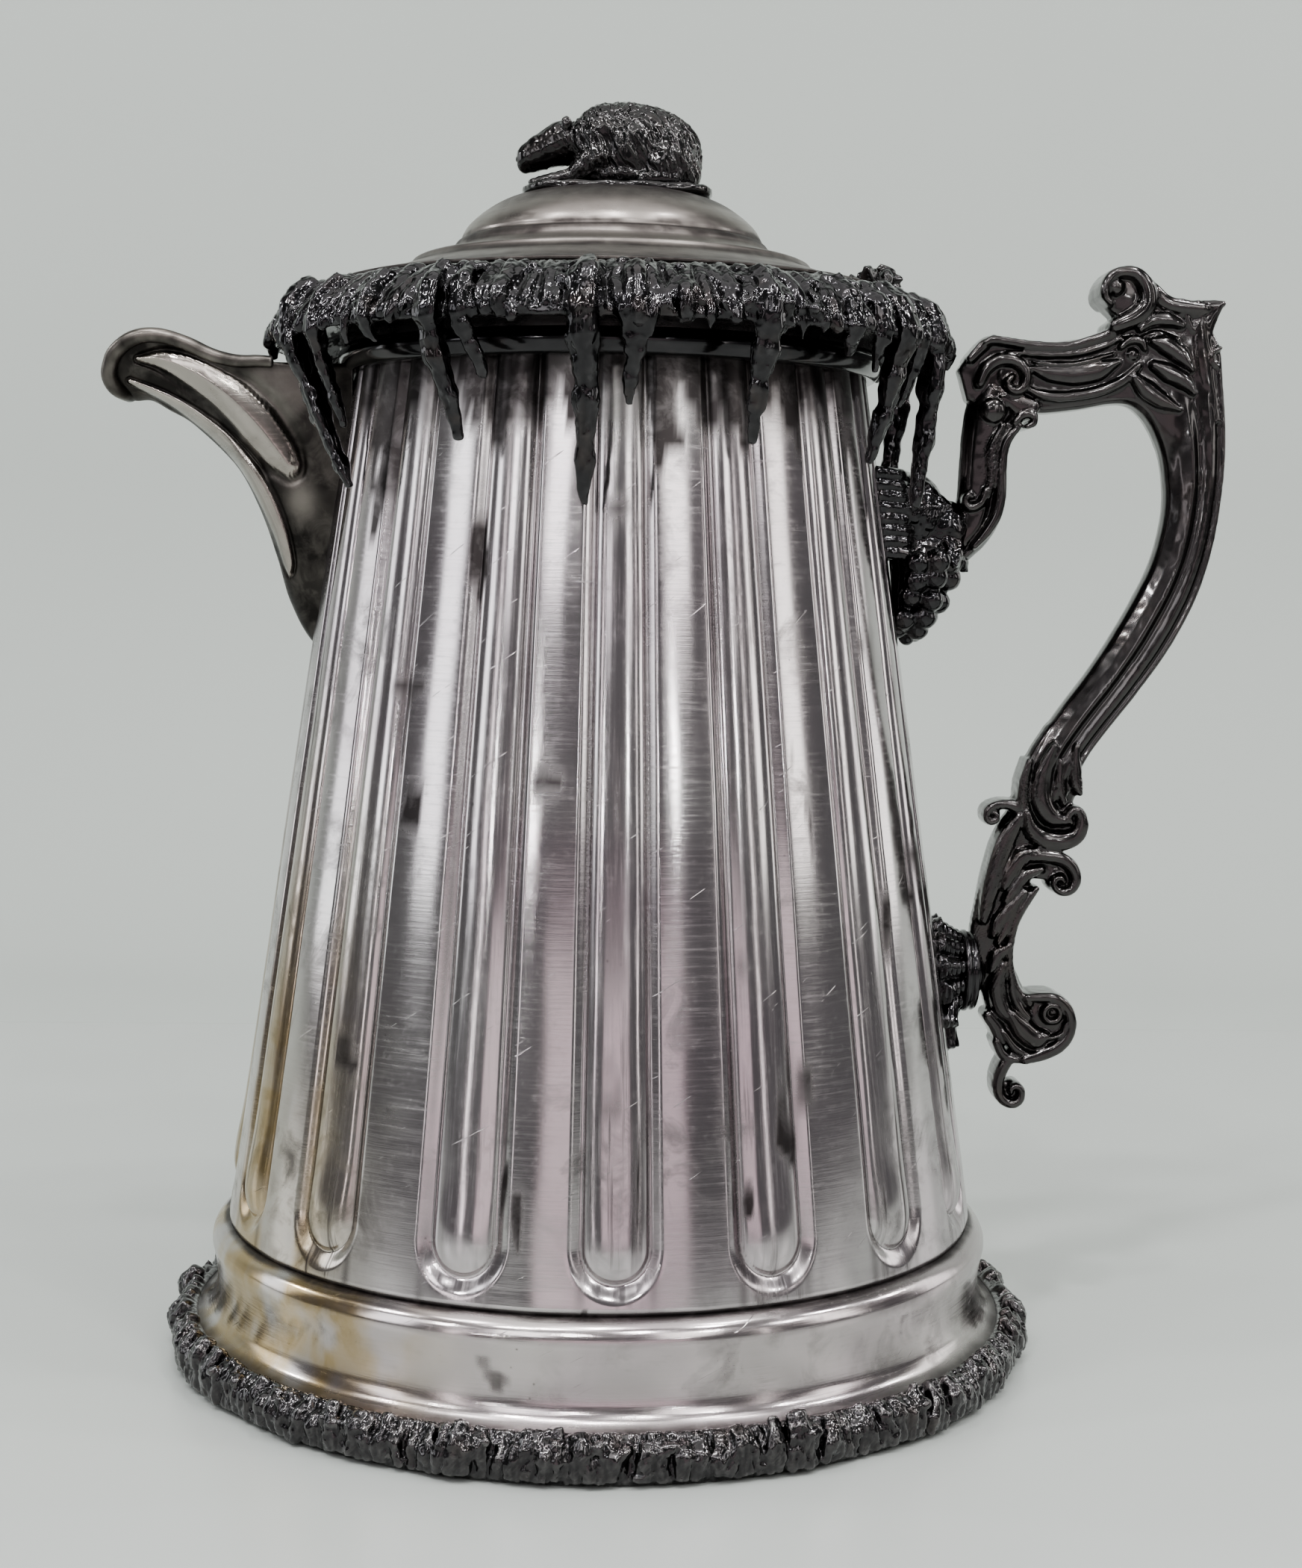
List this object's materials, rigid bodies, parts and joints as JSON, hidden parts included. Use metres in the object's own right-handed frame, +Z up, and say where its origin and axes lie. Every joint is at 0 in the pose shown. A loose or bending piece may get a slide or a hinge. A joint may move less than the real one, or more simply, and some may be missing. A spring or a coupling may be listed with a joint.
{
  "type": "iced water jug",
  "caption": "Tapered double-walled metal jug with fluted sides, beak spout, scrolled handle, icicle rim border and a hinged domed lid topped by a crouching bear.",
  "frame": {"origin": "on the jug's axis, at the centre of the flat base it stands on", "axes": "+Z up along the jug's axis, spout towards -X, handle and lid hinge towards +X, +Y to the far side"},
  "size_m": [0.2884, 0.2223, 0.3176],
  "materials": {
    "silver_shell": "worn polished silver plate with fine scratches",
    "silver_spout": "polished silver plate with dark tarnish in the hollows",
    "silver_lid": "silver plate, dulled on the dome",
    "silver_plain": "dull silver plate",
    "dark_cast": "blackened glossy cast white metal",
    "dark_handle": "blackened cast white metal worn brighter on the ridges",
    "fastener_brass": "plain brass",
    "pin_steel": "dull steel"
  },
  "bodies": {
    "jug": {"outer_shell": "silver_shell", "foot_band": "silver_shell", "foot_ice_border": "dark_cast", "base_plate": "silver_plain", "inner_liner": "silver_plain", "top_collar": "silver_plain", "neck_moulding": "dark_cast", "rim_ice_border": "dark_cast", "spout_half_right": "silver_spout", "spout_half_left": "silver_spout", "spout_edge_bead": "silver_spout", "spout_throat": "silver_plain", "spout_strainer": "silver_plain", "hinge_fixed_leaf": "dark_cast", "hinge_pin": "pin_steel", "handle": "dark_handle", "upper_bracket_leaf": "dark_cast", "upper_bracket_grapes": "dark_cast", "lower_bracket_shell": "dark_cast", "handle_collar": "dark_cast"},
    "lid": {"lid_shell": "silver_lid", "lid_lining": "silver_plain", "finial_plate": "dark_cast", "finial_bear": "dark_cast", "finial_stud": "fastener_brass", "finial_washer": "fastener_brass", "finial_nut": "fastener_brass", "hinge_lid_leaf": "dark_cast", "thumbpiece": "dark_cast"}
  },
  "joints": [
    {"name": "lid_hinge", "type": "hinge", "parent": "jug", "child": "lid", "pos_m": [0.0736, 0, 0.2652], "axis": [0, 1, 0], "range_deg": [0, 85]}
  ]
}
